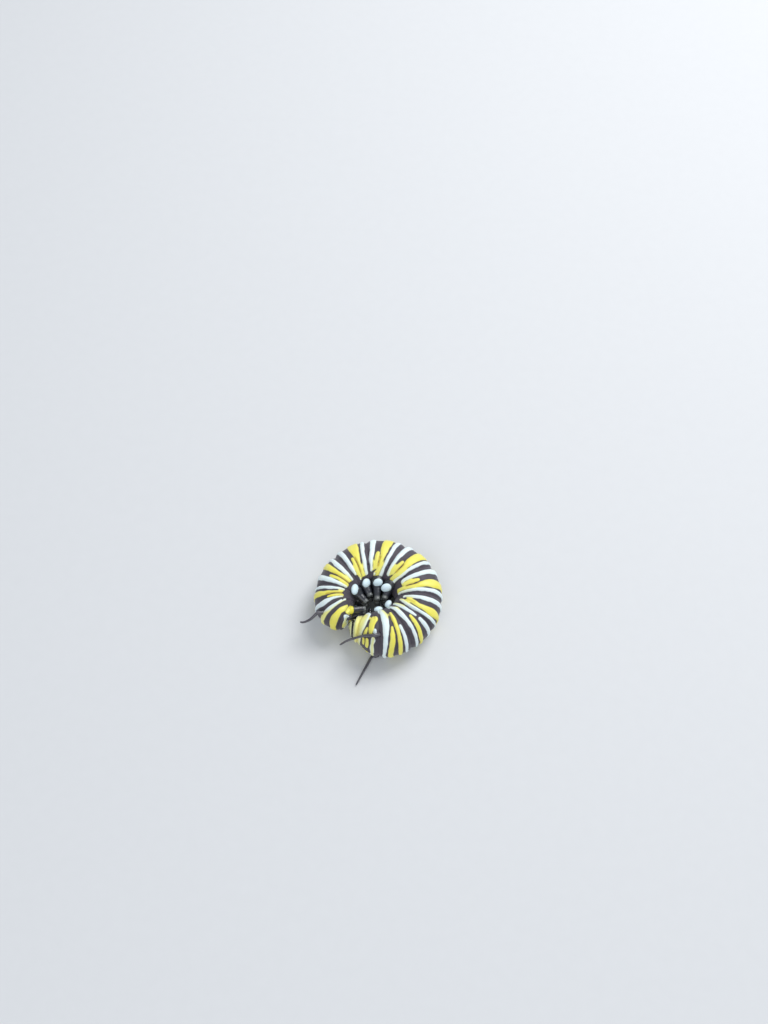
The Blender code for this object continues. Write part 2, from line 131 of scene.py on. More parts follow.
YELLOW_BANDS = {
    "a9": ((180, 0.30, 2.20), (139, 0.10, 2.31), (103, -0.05, 2.16), (90, 0.00, 1.95)),
    "a9_back": ((24, 0.45, 1.28), (0, 0.50, 1.28)),
    "a8": ((124, 2.28, 2.52), (100, 2.12, 2.55), (80, 2.22, 2.56), (40, 2.14, 2.52), (0, 2.12, 2.42)),
    "a7_short": ((114, 3.35, 3.52), (90, 3.34, 3.50), (68, 3.38, 3.44)),
    "a7_wide": ((112, 3.55, 3.71), (80, 3.54, 3.67), (60, 3.51, 3.69), (40, 3.54, 3.75), (0, 3.64, 3.83)),
    "a6_short": ((122, 4.25, 4.40), (90, 4.26, 4.40), (64, 4.29, 4.37)),
    "a6_wide": ((122, 4.44, 4.61), (80, 4.46, 4.61), (60, 4.45, 4.64), (20, 4.54, 4.74), (0, 4.56, 4.76)),
    "a5_short": ((126, 5.27, 5.43), (100, 5.26, 5.45), (79, 5.30, 5.41)),
    "a5_wide": ((135, 5.47, 5.60), (100, 5.48, 5.64), (80, 5.44, 5.69), (60, 5.40, 5.73), (0, 5.46, 5.78)),
    "a4_short": ((126, 6.29, 6.43), (100, 6.28, 6.46), (82, 6.33, 6.43)),
    "a4_wide": ((144, 6.40, 6.55), (120, 6.42, 6.61), (100, 6.50, 6.65), (80, 6.45, 6.69), (0, 6.45, 6.70)),
    "a3_short": ((130, 7.30, 7.46), (105, 7.28, 7.50), (87, 7.35, 7.45)),
    "a3_wide": ((146, 7.44, 7.60), (120, 7.50, 7.73), (100, 7.54, 7.76), (80, 7.45, 7.75), (0, 7.42, 7.74)),
    "a2_short": ((125, 8.35, 8.52), (100, 8.33, 8.54), (83, 8.39, 8.48)),
    "a2_wide": ((148, 8.42, 8.66), (120, 8.54, 8.73), (100, 8.59, 8.75), (60, 8.47, 8.75), (0, 8.50, 8.71)),
    "a1": ((114, 9.47, 9.64), (100, 9.46, 9.69), (80, 9.56, 9.78), (40, 9.47, 9.76), (0, 9.47, 9.62)),
    "t3": ((84, 10.33, 10.46), (80, 10.31, 10.50), (60, 10.36, 10.55), (20, 10.48, 10.68), (0, 10.51, 10.67)),
    "t2_rear": (
        (118, 11.14, 11.31), (100, 11.14, 11.36), (60, 11.24, 11.37), (20, 11.31, 11.43), (0, 11.33, 11.44),
    ),
    "t2_front": (
        (80, 11.41, 11.50), (60, 11.43, 11.61), (40, 11.49, 11.65), (20, 11.57, 11.72), (0, 11.60, 11.74),
    ),
    "t1_top": (
        (116, 12.04, 12.42), (100, 12.05, 12.40), (88, 12.18, 12.44), (74, 12.21, 12.44), (60, 12.28, 12.40),
    ),
    "t1_strip": ((80, 12.47, 12.52), (66, 12.48, 12.64), (54, 12.52, 12.67), (48, 12.55, 12.68)),
    "t1_low_rear": ((48, 12.40, 12.54), (30, 12.39, 12.53), (12, 12.42, 12.54)),
    "t1_low_front": ((44, 12.59, 12.70), (30, 12.57, 12.70), (14, 12.60, 12.70)),
}
# Where white skin shades into yellow, as on the pale bands behind the head.
TINTS = {
    "a9": ((60, 0.20, 0.90), (0, 0.20, 1.30)),
    "a8_front": ((125, 2.84, 2.98), (90, 2.66, 2.82), (60, 2.64, 2.80), (30, 2.64, 2.94), (0, 2.62, 2.96)),
    "a1_front": ((138, 9.44, 9.66), (120, 9.50, 9.76), (100, 9.68, 9.86), (85, 9.72, 9.84)),
    "t3_rear": ((148, 10.00, 10.30), (125, 9.98, 10.22), (105, 10.02, 10.20)),
    "t3_front": ((140, 10.54, 10.76), (122, 10.38, 10.62), (108, 10.44, 10.62)),
    "t2_front": ((146, 11.62, 11.84), (130, 11.48, 11.78), (113, 11.36, 11.62), (100, 11.44, 11.58)),
    "t1_rear": ((60, 12.14, 12.24), (30, 12.19, 12.29), (0, 12.18, 12.28)),
    "t1": (
        (140, 12.60, 13.20), (125, 12.52, 13.32), (103, 12.57, 13.42), (80, 12.65, 13.50),
        (55, 12.74, 13.56), (30, 12.80, 13.64), (0, 12.80, 13.64),
    ),
}
GROOVES = {
    "a7": ((114, 3.525, 3.535), (66, 3.525, 3.535)),
    "a6": ((122, 4.415, 4.425), (68, 4.415, 4.425)),
    "a5": ((120, 5.455, 5.465), (84, 5.455, 5.465)),
    "a4": ((118, 6.475, 6.485), (96, 6.475, 6.485)),
    "a3": ((118, 7.515, 7.525), (94, 7.515, 7.525)),
    "a2": ((118, 8.565, 8.575), (88, 8.565, 8.575)),
    "a1": ((112, 9.56, 9.57), (92, 9.60, 9.61)),
    "t2": ((110, 11.37, 11.38), (60, 11.39, 11.40), (20, 11.49, 11.50)),
    "t1_top": ((117, 12.21, 12.22), (107, 12.22, 12.23)),
    "t1": (
        (130, 12.79, 12.80), (113, 12.86, 12.87), (97, 12.92, 12.93), (79, 12.97, 12.98),
        (61, 13.01, 13.02), (0, 13.04, 13.05),
    ),
}
# Towards the belly, from the first to the second of these degrees from the back, gaps this
# narrow (mm) between white and yellow close up, and yellow tints the white beside it.
LOW_FLANK = (86, 112)
CLOSING_GAP = 0.36
BESIDE_STRENGTH = 0.5
BESIDE_EDGE = (-0.30, 0.0)
# How strong the tints and the gold of the grooves are, and where they start and are full
# (mm inside their edge). Edges of bands waver by up to this much to each side (mm).
TINT_STRENGTH = 0.9
TINT_EDGE = (-0.25, 0.30)
ABDOMEN_GOLD = 0.9
THORAX_GOLD = 0.45
GOLD_EDGE = (-0.30, 0.02)
EDGE_WAVER = 0.13
# The skin's relief: where a band's shoulder starts and is full (mm inside its edge), middle
# and half width of a groove (mm), half width of a joint (segments), and the share of a
# joint's depth that is left at the belly.
SHOULDER = (-0.18, 0.34)
GROOVE_MIDDLE = 0.04
GROOVE_HALF_WIDTH = 0.11
JOINT_HALF_WIDTH = 0.055
BELLY_SHARE = 0.35
# The glossy black plate at the tail's end (place, mm for each place, degrees from the back).
PLATE_START = -0.4
PLATE_SCALE = 0.6
PLATE_REACH = 70
# The breathing holes, small glossy ovals low on each flank (mm, and angle from the back).
SPIRACLE_RADIUS = 0.20
SPIRACLE_STRETCH = 1.6
SPIRACLE_PLACES = (12.35, 9.06, 8.01, 6.97, 5.98, 4.93, 3.99, 3.06, 2.60)
SPIRACLE_ANGLE = np.radians(112)

# Limbs: the place of the root along the body, then the foot or tip in plan (mm, from the
# ring's centre). A profile gives (part of the length, radius in mm) from root to foot.
# Roots lie inside the body by a share of its half height.
ROOT_SHARE = 0.25
PROLEG_FEET = {
    "a6": (4.5, -1.85, -1.30),
    "a5": (5.5, -1.30, -0.14),
    "a4": (6.5, -0.20, -0.88),
    "a3": (7.5, 0.92, -0.62),
}
PROLEG_ROOT_ANGLE = np.radians(152)
PROLEG_PROFILE = (
    (0.0, 0.70), (0.05, 0.95), (0.12, 1.12), (0.26, 1.14), (0.36, 0.96), (0.46, 0.79), (0.55, 0.69),
    (0.66, 0.66), (0.75, 0.60), (0.86, 0.50), (0.90, 0.50), (0.95, 0.54), (0.985, 0.47), (1.0, 0.22),
)
# Folds round a proleg (share of its radius, radians of the wave along it), where its grey
# foot starts (part of the length), and the arc of hooks on the foot (half arc in radians).
FOLD_HEIGHT = 0.012
FOLD_WAVES = 46
FOOT_START = 0.84
HOOK_COUNT = 15
HOOK_HALF_ARC = 1.9
HOOK_ARC_RADIUS = 0.36 * MM
HOOK_LENGTH = 0.09 * MM
HOOK_RADIUS = 0.035 * MM
# White domes at the bases of the right prolegs and legs: middle (mm, from the ring's centre
# and the floor), half width, stretch and the level direction of the stretch in degrees.
# The left limbs have the same domes, mirrored in the body's middle plane.
DOMES = {
    4.5: ((-3.74, 0.42, 5.78), 0.66, 1.45, 80),
    5.5: ((-1.88, 1.72, 5.44), 0.72, 1.08, 60),
    6.5: ((-0.04, 1.74, 5.44), 0.72, 1.10, 15),
    7.5: ((1.30, 0.86, 5.34), 0.72, 1.20, 12),
    10.9: ((1.50, -1.84, 5.14), 0.60, 1.15, 60),
    12.0: ((-0.02, -2.76, 5.14), 0.52, 1.36, 10),
}
# The yellow domes at the bases of the tail's prolegs, as above.
TAIL_DOMES = {1.85: ((-4.38, -3.12, 5.36), 0.54, 1.30, 75)}
DOME_THICKNESS = 0.46
DOME_SINK = 0.14
ANAL_FEET = {"a10": (1.85, -2.05, -2.48)}
ANAL_ROOT_ANGLE = np.radians(140)
ANAL_PROFILE = (
    (0.0, 0.60), (0.25, 0.64), (0.40, 0.63), (0.55, 0.60), (0.75, 0.52), (0.88, 0.43), (0.92, 0.43),
    (0.96, 0.47), (0.985, 0.40), (1.0, 0.18),
)
LEG_TIPS = {"t3": (10.5, 0.62, -1.60), "t2": (11.5, -0.42, -1.82), "t1": (12.5, -1.30, -2.02)}
LEG_ROOT_ANGLE = np.radians(162)
LEG_PROFILE = (
    (0.0, 0.50), (0.34, 0.44), (0.42, 0.36), (0.50, 0.35), (0.60, 0.29), (0.645, 0.25), (0.66, 0.30),
    (0.72, 0.29), (0.80, 0.22), (0.835, 0.18), (0.85, 0.22), (0.90, 0.18), (0.955, 0.10), (1.0, 0.03),
)
# The middle of a leg stands away from the line of its ends by this share of its length.
LEG_BOW = 0.05

# Soft filaments: the points (mm, from the ring's centre and the floor) that each passes,
# the first inside the body.
FILAMENTS = {
    "t2_right": (
        (0.10, -7.70, 5.70), (-0.02, -8.25, 6.70), (-0.60, -8.50, 6.98), (-1.30, -8.35, 6.68),
        (-2.20, -8.02, 5.90), (-3.50, -7.72, 4.60), (-5.03, -8.00, 4.00), (-6.20, -8.70, 3.90),
    ),
    "t2_left": (
        (0.10, -7.90, 1.30), (0.02, -8.80, 0.62), (-0.35, -9.05, 0.42), (-1.10, -9.20, 0.38),
        (-1.79, -10.50, 0.36), (-2.46, -11.80, 0.34), (-3.60, -14.10, 0.30),
    ),
    "a8_right": (
        (-8.40, -3.30, 4.80), (-9.30, -3.62, 5.25), (-9.85, -3.72, 5.35), (-10.45, -4.15, 5.05),
        (-11.10, -4.50, 4.55), (-12.00, -4.68, 4.05), (-12.70, -4.55, 3.80),
    ),
    "a8_left": (
        (-6.60, -3.90, 1.70), (-6.50, -3.95, 0.95), (-6.15, -3.75, 0.50), (-5.45, -3.25, 0.40),
        (-4.75, -2.75, 0.38), (-4.15, -2.25, 0.36),
    ),
}
# A filament's fine rings (share of its radius, radians of the wave along it), and how far
# its root widens.
RING_HEIGHT = 0.04
RING_WAVES = 120
ROOT_FLARE = 0.22 * MM

# The head capsule, and the details on it: forward from the neck, out from the middle and
# down from the head's centre (mm).
NECK_GAP = 0.15 * MM
HEAD_HALF_WIDTH = 1.65 * MM
HEAD_HALF_HEIGHT = 1.52 * MM
HEAD_THICKNESS = 1.45 * MM
CROWN_NOTCH = 0.10
CROWN_NOTCH_WIDTH = 0.28
CHEEK_SWELL = 0.08
FACE_LEAN = 0.14 * MM
# Black arcs across the capsule: middle (part of its thickness), bow towards the crown, half
# width (mm) and where it ends (degrees from the crown).
ARCS = ((0.04, 0.0, 0.06, 181), (0.54, 0.06, 0.17, 128))
# The black chevron on the face, with a seam down each arm of it: out = start + slope x (top
# - up) in mm from the middle of the capsule, its half width, and from where to where it goes
# up the face.
CHEVRON_START = 0.10
CHEVRON_SLOPE = 0.42
CHEVRON_TOP = 0.75
CHEVRON_HALF_WIDTH = 0.15
CHEVRON_SPAN = (-0.95, 0.80)
FACE_SEAM_END = -1.0
# The patch over the mouth (up from the middle, radius), and the seams of the capsule (mm).
FACE_PATCH = (-0.55, 0.17)
SEAM_HALF_WIDTH = 0.05
CROWN_SEAM_DEPTH = 0.05
FACE_SEAM_DEPTH = 0.035
EYE_RADIUS = 0.11 * MM
EYE_SINK = 0.03 * MM
EYES = ((0.36, 108), (0.48, 106), (0.59, 111), (0.64, 121), (0.54, 132), (0.38, 122))
LABRUM = ((1.22, 0.0, 0.98), (0.24, 0.36, 0.22))
MANDIBLE = ((1.05, 0.27, 1.24), (0.26, 0.24, 0.24))
FEELER = ((1.02, 0.86, 0.92), (1.40, 1.06, 1.22))
FEELER_PROFILE = (
    (0.0, 0.17), (0.42, 0.155), (0.47, 0.10), (0.52, 0.11), (0.76, 0.10), (0.80, 0.06), (1.0, 0.02),
)
PALPS = ((0.80, 0.34, 1.18), (0.80, -0.34, 1.18), (0.78, 0.0, 1.20))
PALP_TIPS = ((0.95, 0.40, 1.50), (0.95, -0.40, 1.50), (0.90, 0.0, 1.46))
PALP_WIDTH = 0.75


# Shapes


def curve_rows(rows, place):
    """Catmull-Rom curve through equally spaced rows, read at an array of places.

    Between rows b and c, with a before and d after, and t the part of the way:
    half of (2b + (c - a) t + (2a - 5b + 4c - d) t squared + (3b - a - 3c + d) t cubed).
    """
    rows = np.asarray(rows, dtype=float)
    place = np.asarray(place, dtype=float)
    padded = np.vstack((2 * rows[0] - rows[1], rows, 2 * rows[-1] - rows[-2]))
    first = np.clip(np.floor(place).astype(int), 0, len(rows) - 2)
    part = (place - first)[..., None]
    before, start, end, after = (padded[first + step] for step in range(4))
    return 0.5 * (
        2 * start
        + (end - before) * part
        + (2 * before - 5 * start + 4 * end - after) * part ** 2
        + (3 * start - before - 3 * end + after) * part ** 3
    )


def unit(vectors):
    return vectors / np.linalg.norm(vectors, axis=-1, keepdims=True)


def body_rows():
    rows = np.array(list(STATIONS.values()))
    rows[:, 0] = np.radians(rows[:, 0])
    rows[:, 1:] *= MM
    return rows


BODY_ROWS = body_rows()


def body_section(place):
    """Centre and back direction in plan, half depth, half height and middle at places.

    Back = ring centre + radius (cos, sin) of the back angle, belly = ring centre + its
    offset, centre = half way between them, half depth = half the distance.
    """
    angle, radius, belly_x, belly_y, half_height, middle = np.moveaxis(curve_rows(BODY_ROWS, place), -1, 0)
    back = RING_CENTRE + radius[..., None] * np.stack((np.cos(angle), np.sin(angle)), -1)
    belly = RING_CENTRE + np.stack((belly_x, belly_y), -1)
    half_depth = np.linalg.norm(back - belly, axis=-1) / 2
    return (back + belly) / 2, unit(back - belly), half_depth, half_height, middle


def heading(place):
    """Level direction from tail to head, square to the outline at these places."""
    backward = body_section(place)[1]
    return np.stack((backward[..., 1], -backward[..., 0], np.zeros(backward.shape[:-1])), -1)


def body_surface(place, angle, swell=0.0):
    """Points of the body: place and angle (radians) are arrays that broadcast.

    Point = centre + back direction x (half depth + swell) cos(angle), at the height
    middle + (half height + swell) sin(angle). Before place 0 the outline shrinks as a
    quarter ellipse to the tail's tip, and after the last place it bulges forward as a
    hood over the neck and rolls in. Nothing goes below the floor.
    """
    place, angle, swell = np.broadcast_arrays(place, angle, swell)
    held = np.clip(place, 0, HEAD_PLACE)
    tail = np.clip(-place, 0, 1) * np.pi / 2
    hood = np.clip(place - HEAD_PLACE, 0, 1)
    shrink = np.cos(tail) * (1 - 0.42 * hood ** 3)
    reach = (0.55 + 0.12 * np.cos(angle) - 0.10 * np.cos(2 * angle)) * MM
    tip = (0.42 + 0.28 * np.clip(np.cos(angle), 0, 1)) * MM
    push = reach * np.sin(hood * 2.4) - tip * np.sin(tail)
    centre, backward, half_depth, half_height, middle = body_section(held)
    plan = centre + backward * ((half_depth * shrink + swell) * np.cos(angle))[..., None]
    height = middle + (half_height * shrink + swell) * np.sin(angle)
    points = np.concatenate((plan, height[..., None]), -1) + heading(held) * push[..., None]
    points[..., 2] = np.maximum(points[..., 2], 0.0)
    return points


def profile_radii(profile, parts):
    """Radius in metres at each part of a member's length, eased between profile knots."""
    knots, radii = np.array(profile).T
    fine = np.linspace(0, 1, 400)
    rough = np.interp(fine, knots, radii)
    width = 9
    window = np.hanning(width + 2)[1:-1]
    padded = np.pad(rough, width // 2, mode="edge")
    return np.interp(parts, fine, np.convolve(padded, window / window.sum(), mode="valid")) * MM


def tubes(paths, radii, sides):
    """Rings of round members: paths (members, rings, 3) and radii (members, rings).

    Ring point = path point + radius (cos t x across + sin t x third), where across is
    the upright direction with its part along the path taken off.
    """
    paths = np.asarray(paths, dtype=float)
    forward = unit(np.gradient(paths, axis=1))
    upright = np.zeros_like(forward)
    upright[..., 2] = 1.0
    steep = np.abs(forward[..., 2]) > 0.93
    upright[steep] = (1.0, 0.0, 0.0)
    across = unit(upright - forward * (upright * forward).sum(-1, keepdims=True))
    third = np.cross(forward, across)
    turn = 2 * np.pi * np.arange(sides) / sides
    ring = np.cos(turn)[:, None] * across[:, :, None] + np.sin(turn)[:, None] * third[:, :, None]
    return paths[:, :, None] + np.asarray(radii)[:, :, None, None] * ring


def eggs(centres, axes, half_sizes, rings, sides):
    """Rings of smooth eggs: centre + sum of axis x half size x point of a unit ball."""
    down = np.linspace(0.06, 0.94, rings) * np.pi
    turn = 2 * np.pi * np.arange(sides) / sides
    ball = np.stack((
        np.cos(down)[:, None] * np.ones(sides),
        np.sin(down)[:, None] * np.cos(turn),
        np.sin(down)[:, None] * np.sin(turn),
    ), -1)
    scaled = ball[None] * np.asarray(half_sizes)[:, None, None]
    return np.asarray(centres)[:, None, None] + scaled @ np.asarray(axes)


def ring_patch(rings, fields=None):
    """A closed mesh through rings (members, rings, sides, 3), with a point at each end.

    The end points are the middles of the end rings. Fields are arrays of one value or
    vector to a ring point, and the end points get the mean of their ring.
    """
    members, count, sides = rings.shape[:3]

    def with_ends(values):
        flat = values.reshape(members, count * sides, -1)
        ends = np.stack((values[:, 0].mean(1), values[:, -1].mean(1)), 1).reshape(members, 2, -1)
        return np.concatenate((flat, ends), 1).reshape(members * (count * sides + 2), -1)

    row, side = np.meshgrid(np.arange(count - 1), np.arange(sides), indexing="ij")
    here = row * sides + side
    beside = row * sides + (side + 1) % sides
    quads = np.stack((here, beside, beside + sides, here + sides), -1).reshape(-1, 4)
    around = np.arange(sides)
    following = (around + 1) % sides
    last = (count - 1) * sides
    first_fan = np.stack((following, around, np.full(sides, count * sides)), -1)
    last_fan = np.stack((around + last, following + last, np.full(sides, count * sides + 1)), -1)
    triangles = np.concatenate((first_fan, last_fan))
    shift = (np.arange(members) * (count * sides + 2))[:, None, None]
    return {
        "points": with_ends(rings),
        "quads": (quads + shift).reshape(-1, 4),
        "triangles": (triangles + shift).reshape(-1, 3),
        "fields": {name: with_ends(values) for name, values in (fields or {}).items()},
    }


def faces_outward(patch):
    """Turns a patch's faces round if its enclosed volume comes out negative."""
    points = patch["points"]
    a, b, c, d = (points[patch["quads"][:, k]] for k in range(4))
    p, q, r = (points[patch["triangles"][:, k]] for k in range(3))
    volume = (a * np.cross(b, c)).sum() + (a * np.cross(c, d)).sum() + (p * np.cross(q, r)).sum()
    if volume < 0:
        patch["quads"] = patch["quads"][:, ::-1]
        patch["triangles"] = patch["triangles"][:, ::-1]
    return patch


def add_piece(name, patches, material, nodes):
    """One object from patches; it rides on the root and stands for the named CAD nodes."""
    points = []
    faces = []
    fields = {}
    total = 0
    for patch in patches:
        patch = faces_outward(patch)
        points.append(patch["points"])
        faces += (patch["quads"] + total).tolist()
        faces += (patch["triangles"] + total).tolist()
        for field, values in patch["fields"].items():
            fields.setdefault(field, []).append(values)
        total += len(patch["points"])
    mesh = bpy.data.meshes.new(name)
    mesh.from_pydata(np.concatenate(points), [], faces)
    for field, values in fields.items():
        values = np.concatenate(values)
        vector = values.shape[1] == 3
        attribute = mesh.attributes.new(field, "FLOAT_VECTOR" if vector else "FLOAT", "POINT")
        attribute.data.foreach_set("vector" if vector else "value", values.astype(np.float32).ravel())
    mesh.shade_smooth()
    mesh.materials.append(material)
    piece = bpy.data.objects.new(name, mesh)
    bpy.context.scene.collection.objects.link(piece)
    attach(piece, "root")
    if nodes:
        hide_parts(*nodes)
    return piece


# Markings


def band_edges(knots, angles):
    """Start and end of a band along the body at angles from the back, eased over 9 degrees."""
    at, start, end = np.array(sorted(knots)).T
    degrees = np.arange(-20, 201)
    window = np.hanning(11)[1:-1]
    window /= window.sum()
    edges = []
    for values in (start, end):
        rough = np.pad(np.interp(degrees, at, values), 4, mode="edge")
        edges.append(np.interp(angles, degrees, np.convolve(rough, window, mode="valid")))
    return edges, at[0], at[-1]


def band_distance(bands, places, angles, lengths):
    """Distance in mm inside the nearest of some bands, negative outside them.

    A band is a ribbon with round ends: half width - hypot(distance along the body from
    its middle line, distance round the body past the centre of its round end).
    """
    degrees = np.abs(np.degrees(angles))
    radius = np.radians(MEAN_RADIUS)
    nearest = np.full(lengths.shape, -1.0)
    for knots in bands.values():
        (start, end), low, high = band_edges(knots, degrees)
        rows = np.flatnonzero((places > start.min() - 0.3) & (places < end.max() + 0.3))
        middle = (start + end) / 2
        row_of_middle = np.clip(np.searchsorted(places, middle), 0, len(places) - 1)
        scale = lengths[row_of_middle, np.arange(len(angles))]
        half = (end - start) / 2 * scale
        past = np.maximum(half - (high - degrees) * radius, 0)
        if low > 0:
            past = np.maximum(past, half - (degrees - low) * radius)
        off = np.abs(places[rows][:, None] - middle) * scale
        nearest[rows] = np.maximum(nearest[rows], half - np.hypot(off, past))
    return nearest


def ease(values, low, high):
    """Smooth step from 0 at low to 1 at high."""
    part = np.clip((values - low) / (high - low), 0, 1)
    return part * part * (3 - 2 * part)


def skin_fields(places, angles, lengths):
    """What the skin's material and relief read at each place and angle, with lengths in mm.

    The fields ending in mm are distances inside a mark. Tint and gold go from 0 to 1.
    """
    turn = np.abs(np.degrees(angles))
    white, yellow, groove, tint = (
        band_distance(bands, places, angles, lengths) for bands in (WHITE_BANDS, YELLOW_BANDS, GROOVES, TINTS)
    )
    low = ease(turn, *LOW_FLANK)
    bridge = np.minimum(white + yellow + CLOSING_GAP * low, -white)
    yellow = np.maximum(yellow, np.where(low > 0, bridge, -1.0))
    beside = BESIDE_STRENGTH * ease(yellow, *BESIDE_EDGE) * low
    depth = np.where(places < 9, ABDOMEN_GOLD, THORAX_GOLD)[:, None]
    across = (PLATE_REACH - turn) * np.radians(MEAN_RADIUS)
    plate = np.minimum((PLATE_START - places)[:, None] * PLATE_SCALE, across)
    for place in SPIRACLE_PLACES:
        for angle in (SPIRACLE_ANGLE, -SPIRACLE_ANGLE):
            along = (places[:, None] - place) * lengths * SPIRACLE_STRETCH
            plate = np.maximum(plate, SPIRACLE_RADIUS - np.hypot(along, (angles - angle) * MEAN_RADIUS))
    return {
        "white_mm": white,
        "yellow_mm": yellow,
        "groove_mm": groove,
        "plate_mm": plate,
        "tint": TINT_STRENGTH * np.maximum(beside, ease(tint, *TINT_EDGE)),
        "gold": depth * ease(groove, *GOLD_EDGE),
    }


# Materials


def linear(colour):
    """sRGB hex colour to the linear values that Blender's shaders take."""
    value = np.array([int(colour[k:k + 2], 16) for k in (1, 3, 5)]) / 255
    value = np.where(value <= 0.04045, value / 12.92, ((value + 0.055) / 1.055) ** 2.4)
    return (*value.tolist(), 1.0)


def set_inputs(node, inputs):
    """Sets a node's inputs: a number stands on its own socket, and a socket is linked."""
    for name, value in inputs.items():
        if isinstance(value, bpy.types.NodeSocket):
            node.id_data.links.new(value, node.inputs[name])
        else:
            node.inputs[name].default_value = value


def add_node(tree, kind, inputs=None, **settings):
    """Adds a node with its settings; inputs are numbers or sockets to link from."""
    node = tree.nodes.new(kind)
    for name, value in settings.items():
        setattr(node, name, value)
    set_inputs(node, inputs or {})
    return node


def new_material(name, mottle_size):
    """A new material, its tree, Object coordinates, and noise that varies over a size in mm."""
    material = bpy.data.materials.new(name)
    material.use_nodes = True
    tree = material.node_tree
    place = add_node(tree, "ShaderNodeTexCoord").outputs["Object"]
    mottle = add_node(
        tree, "ShaderNodeTexNoise", {"Vector": place, "Scale": 1 / (mottle_size * MM), "Detail": 3.0},
    )
    return material, tree, place, mottle.outputs["Fac"]


def finished(material, values):
    """The material again, with these values set or linked on its shader."""
    set_inputs(material.node_tree.nodes["Principled BSDF"], values)
    return material


def painted(tree, colour, *layers):
    """Colours laid over one another: each layer is how far it covers, and its colour."""
    for amount, layer in layers:
        mix = add_node(tree, "ShaderNodeMix", {0: amount, 6: colour, 7: layer}, data_type="RGBA")
        colour = mix.outputs[2]
    return colour


def inside_mark(tree, field, noise, waver, edge):
    """How far a mark covers, eased from 0 to 1 across its edge.

    The edge gives two values of: the mark's field (mm inside it) + noise x waver.
    """
    value = add_node(tree, "ShaderNodeAttribute", attribute_name=field).outputs["Fac"]
    moved = add_node(tree, "ShaderNodeMath", {0: noise, 1: waver, 2: value}, operation="MULTIPLY_ADD")
    return add_node(
        tree, "ShaderNodeMapRange",
        {"Value": moved.outputs[0], "From Min": edge[0], "From Max": edge[1]},
        interpolation_type="SMOOTHSTEP",
    ).outputs["Result"]


def banded_skin_material(settings):
    """Larval skin, soft and matt, with short fur-like pile; a painted sheen greys the black bands.

    The bands are raised and smooth, so they show a faint gloss; black skin between them
    is finely wrinkled across the body. The colour shifts gently over about 1 mm, as the
    pigment lies under the cuticle.
    """
    material, tree, place, mottle = new_material("banded_larval_skin", 1.1)
    straight = add_node(tree, "ShaderNodeAttribute", attribute_name="straight").outputs["Vector"]
    tint, gold = (
        add_node(tree, "ShaderNodeAttribute", attribute_name=field).outputs["Fac"]
        for field in ("tint", "gold")
    )
    # Band edges waver in waves about 1.2 mm long with finer ones on them.
    waver = add_node(tree, "ShaderNodeTexNoise", {"Vector": place, "Scale": 1 / (1.2 * MM), "Detail": 1.5})
    in_white, in_yellow, in_plate = (
        inside_mark(
            tree, field, waver.outputs["Fac"], 2 * EDGE_WAVER, (EDGE_WAVER - soft, EDGE_WAVER + soft),
        )
        for field, soft in (("white_mm", 0.07), ("yellow_mm", 0.07), ("plate_mm", 0.06))
    )
    shades = (tint, settings.yellow_pale), (gold, settings.gold)
    yellow = painted(tree, settings.yellow, (mottle, settings.yellow_pale), *shades)
    white = painted(tree, settings.white, (mottle, settings.white_blue), *shades)
    # Painted sheen: the black lightens in patches about 1.1 mm across, standing for light on its surface.
    black = painted(tree, settings.black, (mottle, settings.black_sheen))
    colour = painted(tree, black, (in_white, white), (in_yellow, yellow), (in_plate, settings.plate))
    in_band = add_node(tree, "ShaderNodeMath", {0: in_white, 1: in_yellow}, operation="MAXIMUM").outputs[0]
    # Wrinkles run round the body: 0.16 mm apart along it and about a millimetre long.
    stretched = add_node(tree, "ShaderNodeMapping", {"Vector": straight, "Scale": (1.0, 0.16, 0.16)})
    wrinkle = add_node(
        tree, "ShaderNodeTexNoise",
        {"Vector": stretched.outputs["Vector"], "Scale": 1 / (0.16 * MM), "Detail": 2.0},
    )
    # Pile and pores: points about 0.06 mm across, drawn at 0.09 mm so that they show.
    pile = add_node(tree, "ShaderNodeTexNoise", {"Vector": place, "Scale": 1 / (0.09 * MM), "Detail": 2.0})
    relief = add_node(
        tree, "ShaderNodeMath", {0: wrinkle.outputs["Fac"], 1: 0.7, 2: pile.outputs["Fac"]},
        operation="MULTIPLY_ADD",
    )
    strength = add_node(tree, "ShaderNodeMapRange", {"Value": in_band, "To Min": 0.85, "To Max": 0.35})
    bump = add_node(
        tree, "ShaderNodeBump",
        {"Strength": strength.outputs["Result"], "Distance": 0.03 * MM, "Height": relief.outputs[0]},
    )
    rough = add_node(tree, "ShaderNodeMapRange", {"Value": in_band, "To Min": 0.62, "To Max": 0.46})
    smoother = add_node(
        tree, "ShaderNodeMix", {0: in_plate, 2: rough.outputs["Result"], 3: 0.28}, data_type="FLOAT",
    )
    return finished(material, {
        "Base Color": colour,
        "Roughness": smoother.outputs[0],
        "Normal": bump.outputs["Normal"],
        "Sheen Weight": 0.18,
        "Sheen Roughness": 0.45,
        "Subsurface Weight": 0.12,
        "Subsurface Radius": (0.6 * MM, 0.5 * MM, 0.3 * MM),
        "Subsurface Scale": 1.0,
    })


def black_skin_material(name, black, black_sheen, foot):
    """Black satin skin of prolegs and filaments, with folds about 0.1 mm apart and grey feet."""
    material, tree, place, mottle = new_material(name, 0.6)
    on_foot = inside_mark(tree, "foot_mm", mottle, 0.12, (0.0, 0.1))
    fold = add_node(tree, "ShaderNodeTexNoise", {"Vector": place, "Scale": 1 / (0.1 * MM), "Detail": 2.0})
    bump = add_node(
        tree, "ShaderNodeBump",
        {"Strength": 0.15, "Distance": 0.02 * MM, "Height": fold.outputs["Fac"]},
    )
    return finished(material, {
        # Painted sheen: the black lightens in patches about 0.6 mm across, for light on the skin.
        "Base Color": painted(tree, black, (mottle, black_sheen), (on_foot, foot)),
        "Roughness": 0.38,
        "Normal": bump.outputs["Normal"],
        "Coat Weight": 0.7,
        "Coat Roughness": 0.30,
    })


